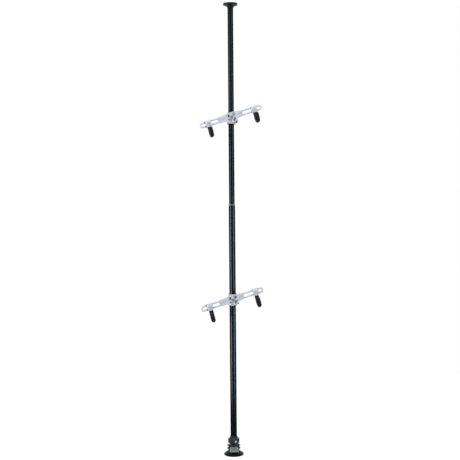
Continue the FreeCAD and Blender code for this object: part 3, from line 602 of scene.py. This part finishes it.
@dataclass
class Mount:
    """One clamp with its tilting arm frame, sliding brackets and rubber cradles."""

    level: Level
    sides: tuple[Side, ...] = tuple(Side)
    # The arm's rise at rest, and from the bolt to each rod and to each side face of the bracket
    tilt_deg: float = 17.5
    rod_offset_mm: float = 12.5
    bracket_half_mm: float = 18.0
    # Bore and outer radius of a bush, and length of a long one, the dark sleeve of painted shade
    # on the rods at the far left; radius and start of its open mouth
    bush_mm: tuple[float, float, float] = (5.15, 7.6, 4.5)
    mouth_mm: tuple[float, float] = (6.3, 1.0)
    # Length of a short bush, and for both how deep they are sunk and their chamfer
    lip_mm: float = 1.2
    bush_sunk_mm: float = 0.6
    bush_chamfer_mm: float = 0.7
    bush_steps: int = 24
    # The hook's lean, and the radii of its rubber sleeve and of its stem
    hook_lean_deg: float = 14.5
    rubber_mm: float = 13.5
    stem_mm: float = 6.05
    # The shoulder's foot and crown below the bolt, its overlap, its rounding and its flat back
    shoulder_mm: tuple[float, float] = (28.0, 21.5)
    shoulder_overlap_mm: float = 0.5
    shoulder_round_mm: float = 2.5
    shoulder_round_steps: int = 4
    shoulder_flat_mm: float = 6.4
    shoulder_steps: int = 48

    def dress(self, nodes: dict[str, bpy.types.Object]) -> None:
        """Give the mount's nodes their finishes.

        Args:
            nodes: The frame's nodes by name.
        """
        for name, finish in MOUNT_FINISHES.items():
            set_finish(nodes[f"{self.level.value}_{name}"], finish)
        for side in self.sides:
            for name, finish in ARM_FINISHES.items():
                set_finish(nodes[f"{self.tag(side)}_{name}"], finish)

    def build(self) -> None:
        """Add the trim that the solids leave out."""
        for side in self.sides:
            self.rod_bushes_and_shade(side)
            self.rubber_shoulder(side)

    def tag(self, side: Side) -> str:
        """Return how the names on one end of this arm begin."""
        return f"{self.level.value}_{side.value}"

    def bolt_centre(self, side: Side) -> Vector:
        """Return the middle of the bolt through one bracket."""
        low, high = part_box(f"{self.tag(side)}_bracket_bolt")
        return (low + high) / 2

    def rod_bushes_and_shade(self, side: Side) -> bpy.types.Object:
        """Build the dark guide bushes where the rods leave a bracket, long on the far left only.

        The long ones are painted shade, dark sleeves for the shade on the rods beyond that
        bracket. They open towards their ends, so that they clear the rods' bend when the bracket
        stands at the far end of its travel.

        Args:
            side: Which end of the arm.

        Returns:
            The four bushes of one bracket as one piece.
        """
        tag = self.tag(side)
        rods_low, rods_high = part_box(f"{tag}_rods")
        centre = self.bolt_centre(side)
        centre.y = (rods_low.y + rods_high.y) / 2
        tilt = math.radians(self.tilt_deg)
        along = Vector((math.cos(tilt), 0, math.sin(tilt)))
        across = Vector((-math.sin(tilt), 0, math.cos(tilt)))
        turn = along.to_track_quat("Z", "Y").to_matrix().to_4x4()
        mesh = bmesh.new()
        inner, outer, shade_sleeve_reach = self.bush_mm
        mouth, mouth_start = self.mouth_mm
        sunk, chamfer = self.bush_sunk_mm, self.bush_chamfer_mm
        for end in (-1, 1):
            # The long bushes at the far left are painted shade: dark sleeves where the rods lie in
            # shade
            painted_shade_sleeve = side is Side.LEFT and end < 0
            length = shade_sleeve_reach if painted_shade_sleeve else self.lip_mm
            ring = [(inner, -sunk), (outer, -sunk)]
            ring += [(outer, length - chamfer), (outer - chamfer, length)]
            ring += [(mouth, length), (inner, mouth_start)] if painted_shade_sleeve else [(inner, length)]
            flip = Matrix.Identity(4) if end > 0 else Matrix.Rotation(math.pi, 4, "X")
            face = along * (end * self.bracket_half_mm * MM)
            for rail in (-1, 1):
                place = centre + face + across * (rail * self.rod_offset_mm * MM)
                spot = Matrix.Translation(place) @ turn @ flip
                MeshMaker.lathe(mesh, ring, spot, self.bush_steps)
        return MeshMaker.piece(mesh, f"{tag}_rod_bushes_and_shade", NYLON_BLACK, f"{tag}_carriage")

    def rubber_shoulder(self, side: Side) -> bpy.types.Object:
        """Build the rounded shoulder of the rubber round the hook's stem, flat to the bracket.

        Args:
            side: Which end of the arm.

        Returns:
            The shoulder of one hook.
        """
        tag = self.tag(side)
        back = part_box(f"{tag}_hook_rubber")[1].y
        pivot = self.bolt_centre(side)
        pivot.y = back - self.rubber_mm * MM
        lean = math.radians(self.hook_lean_deg)
        down = Vector((math.sin(lean), 0, -math.cos(lean)))
        turn = (-down).to_track_quat("Z", "Y").to_matrix().to_4x4()
        foot, crown = self.shoulder_mm
        inner, outer, soft = self.stem_mm, self.rubber_mm, self.shoulder_round_mm
        start = -foot - self.shoulder_overlap_mm
        ring = [(inner, start), (outer, start), (outer, -crown - soft)]
        for step in range(1, self.shoulder_round_steps + 1):
            angle = step * math.pi / 2 / self.shoulder_round_steps
            radius = outer - soft + soft * math.cos(angle)
            ring.append((radius, -crown - soft + soft * math.sin(angle)))
        ring.append((inner, -crown))
        mesh = bmesh.new()
        MeshMaker.lathe(mesh, ring, Matrix.Translation(pivot) @ turn, self.shoulder_steps)
        flat = back - self.shoulder_flat_mm * MM
        cut = bmesh.ops.bisect_plane(
            mesh,
            geom=mesh.verts[:] + mesh.edges[:] + mesh.faces[:],
            plane_co=(0, flat, 0),
            plane_no=(0, 1, 0),
            clear_outer=True,
        )
        rim = [item for item in cut["geom_cut"] if isinstance(item, bmesh.types.BMEdge)]
        bmesh.ops.holes_fill(mesh, edges=rim)
        return MeshMaker.piece(mesh, f"{tag}_rubber_shoulder", RUBBER, f"{tag}_cradle")


def set_finish(thing: bpy.types.Object, finish: Finish) -> None:
    """Put a finish in every material slot of an object.

    Args:
        thing: The object.
        finish: Its surface.
    """
    for slot in thing.material_slots:
        slot.material = finish.material()
    LOG.info("node %s is %s", thing.name, finish.name)


@dataclass
class Studio:
    """Pale room, soft lamps and the camera at the photograph's angle."""

    # Size of the picture, and the camera fitted to it
    picture_px: int = 460
    focal_px: float = 901.6
    sensor_mm: float = 36.0
    distance_m: float = 5.6
    eye_height_m: float = 1.608
    azimuth_deg: float = -3.0
    roll_deg: float = 0.47
    horizon_px: float = 195.4
    pole_px: float = 231.8
    view_reach_m: float = 50.0
    # Height that the large lamps face, and the name, place, size and watts of each
    aim_height_m: float = 1.4
    banks: tuple[tuple[str, tuple[float, float, float], tuple[float, float], float], ...] = (
        ("left_bank", (-3.33, -2.21, 1.3), (1.4, 5.0), 110),
        ("right_bank", (2.9, -2.75, 1.3), (1.2, 5.0), 55),
        ("overhead", (0, -1.6, 4.6), (2.0, 1.5), 30),
    )
    # Name, place beside the pole and watts of each strip lamp's lower tier
    strips: tuple[tuple[str, float, float, float], ...] = (
        ("left_strip", -1.33, -0.88, 78),
        ("right_strip", 1.16, -1.1, 54),
        ("rear_left_strip", -1.16, 1.1, 56),
        ("rear_right_strip", 1.33, 0.88, 56),
    )
    # Width and height of one tier, and the share of the watts that the upper tier gives
    strip_width_m: float = 0.4
    strip_tier_m: float = 1.54
    upper_share: float = 0.4
    # Strength of the room's fill on surfaces, where 1 is the white that is seen
    fill_strength: float = 0.42
    # The floor lies a hair below the rubber foot, and its glow whitens it for the camera alone
    floor_colour: str = "#f4f4f4"
    floor_glow: float = 0.55
    floor_radius_m: float = 3.0
    floor_sides: int = 64
    floor_drop_m: float = 0.0005

    def camera(self) -> bpy.types.Object:
        """Set up the camera, turned to the pole and level but for a slight roll.

        Returns:
            The camera object.
        """
        data = bpy.data.cameras.new("camera")
        data.sensor_width = self.sensor_mm
        data.lens = self.focal_px / self.picture_px * self.sensor_mm
        data.shift_x = (self.picture_px / 2 - self.pole_px) / self.picture_px
        data.shift_y = (self.horizon_px - self.picture_px / 2) / self.picture_px
        data.clip_end = self.view_reach_m
        camera = bpy.data.objects.new("camera", data)
        bpy.context.scene.collection.objects.link(camera)
        turn = math.radians(self.azimuth_deg)
        back = Vector((math.sin(turn), -math.cos(turn), 0))
        camera.location = back * self.distance_m + Vector((0, 0, self.eye_height_m))
        look = back.to_track_quat("Z", "Y").to_matrix()
        roll = Matrix.Rotation(-math.radians(self.roll_deg), 3, "Z")
        camera.rotation_euler = (look @ roll).to_euler()
        bpy.context.scene.camera = camera
        return camera

    def lamp(
        self, name: str, place: Vector, aim: Vector, size: tuple[float, float], power: float
    ) -> bpy.types.Object:
        """Hang a rectangular soft lamp.

        Args:
            name: Name of the lamp.
            place: Where it hangs.
            aim: The point it faces.
            size: Width and height in metres.
            power: Watts.

        Returns:
            The lamp object.
        """
        data = bpy.data.lights.new(name, "AREA")
        data.shape = "RECTANGLE"
        data.size, data.size_y = size
        data.energy = power
        lamp = bpy.data.objects.new(name, data)
        bpy.context.scene.collection.objects.link(lamp)
        lamp.location = place
        lamp.rotation_euler = (place - aim).to_track_quat("Z", "Y").to_euler()
        lamp.visible_camera = False
        return lamp

    def light(self) -> None:
        """Hang two tall side banks and one lamp above."""
        aim = Vector((0, 0, self.aim_height_m))
        for name, place, size, power in self.banks:
            self.lamp(name, Vector(place), aim, size, power)

    def streaks(self, streaked: list[bpy.types.Object]) -> None:
        """Hang strip lamps that show only as soft streaks down the glossy upright parts.

        Args:
            streaked: The two tubes, the lip ring between them and the hand nut.
        """
        receivers = bpy.data.collections.new("streaked_parts")
        for part in streaked:
            receivers.objects.link(part)
        size = (self.strip_width_m, self.strip_tier_m)
        half = self.strip_tier_m / 2
        for name, x, y, power in self.strips:
            for tier, height, share in (("low", half, 1.0), ("high", half * 3, self.upper_share)):
                place, aim = Vector((x, y, height)), Vector((0, 0, height))
                strip = self.lamp(f"{name}_{tier}", place, aim, size, power * share)
                strip.visible_diffuse = False
                strip.light_linking.receiver_collection = receivers

    def world(self) -> None:
        """Build a room that is white where seen or mirrored, and a soft grey as fill light."""
        world = bpy.data.worlds.new("room")
        world.use_nodes = True
        bpy.context.scene.world = world
        tree = world.node_tree
        tree.nodes.clear()
        path = add_node(tree, "ShaderNodeLightPath", {}, {})
        seen = add_node(
            tree,
            "ShaderNodeMath",
            {"operation": "MAXIMUM"},
            {0: path.outputs["Is Camera Ray"], 1: path.outputs["Is Transmission Ray"]},
        )
        mirrored = add_node(
            tree,
            "ShaderNodeMath",
            {"operation": "MAXIMUM"},
            {0: seen.outputs[0], 1: path.outputs["Is Glossy Ray"]},
        )
        strength = add_node(
            tree,
            "ShaderNodeMapRange",
            {"in:To Min": self.fill_strength, "in:To Max": 1.0},
            {"Value": mirrored.outputs[0]},
        )
        room = add_node(
            tree,
            "ShaderNodeBackground",
            {"in:Color": linear("#ffffff")},
            {"Strength": strength.outputs["Result"]},
        )
        add_node(tree, "ShaderNodeOutputWorld", {}, {"Surface": room.outputs["Background"]})

    def floor(self) -> None:
        """Lay a pale floor that is white to the camera and keeps the object's shadow."""
        mesh = bmesh.new()
        bmesh.ops.create_circle(
            mesh, cap_ends=True, segments=self.floor_sides, radius=self.floor_radius_m
        )
        bmesh.ops.translate(mesh, verts=mesh.verts[:], vec=(0, 0, -self.floor_drop_m))
        data = bpy.data.meshes.new("floor")
        mesh.to_mesh(data)
        mesh.free()
        thing = bpy.data.objects.new("floor", data)
        bpy.context.scene.collection.objects.link(thing)
        material = bpy.data.materials.new("pale_floor")
        material.use_nodes = True
        tree = material.node_tree
        tree.nodes.clear()
        matt = add_node(tree, "ShaderNodeBsdfDiffuse", {"in:Color": linear(self.floor_colour)}, {})
        glow = add_node(tree, "ShaderNodeEmission", {"in:Strength": self.floor_glow}, {})
        path = add_node(tree, "ShaderNodeLightPath", {}, {})
        dark = add_node(tree, "ShaderNodeEmission", {"in:Strength": 0.0}, {})
        lit = add_node(
            tree,
            "ShaderNodeMixShader",
            {},
            {"Fac": path.outputs["Is Camera Ray"], 1: dark.outputs[0], 2: glow.outputs[0]},
        )
        both = add_node(tree, "ShaderNodeAddShader", {}, {0: matt.outputs[0], 1: lit.outputs[0]})
        add_node(tree, "ShaderNodeOutputMaterial", {}, {"Surface": both.outputs[0]})
        data.materials.append(material)

    def build(self, streaked: list[bpy.types.Object]) -> None:
        """Build the room, the lamps and the camera.

        Args:
            streaked: The two tubes, the lip ring between them and the hand nut.
        """
        self.world()
        self.floor()
        self.light()
        self.streaks(streaked)
        self.camera()
        bpy.context.scene.view_settings.view_transform = "Standard"


def main() -> None:
    """Build every piece in order."""
    logging.basicConfig(level=logging.INFO, format="%(name)s: %(message)s")
    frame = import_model()
    pole = Pole()
    pole.dress(frame["nodes"])
    pole.build()
    for level in Level:
        mount = Mount(level)
        mount.dress(frame["nodes"])
        mount.build()
    Studio().build([frame["nodes"][name] for name in STREAKED])
    LOG.info("boxes written")


if __name__ == "__main__":
    main()
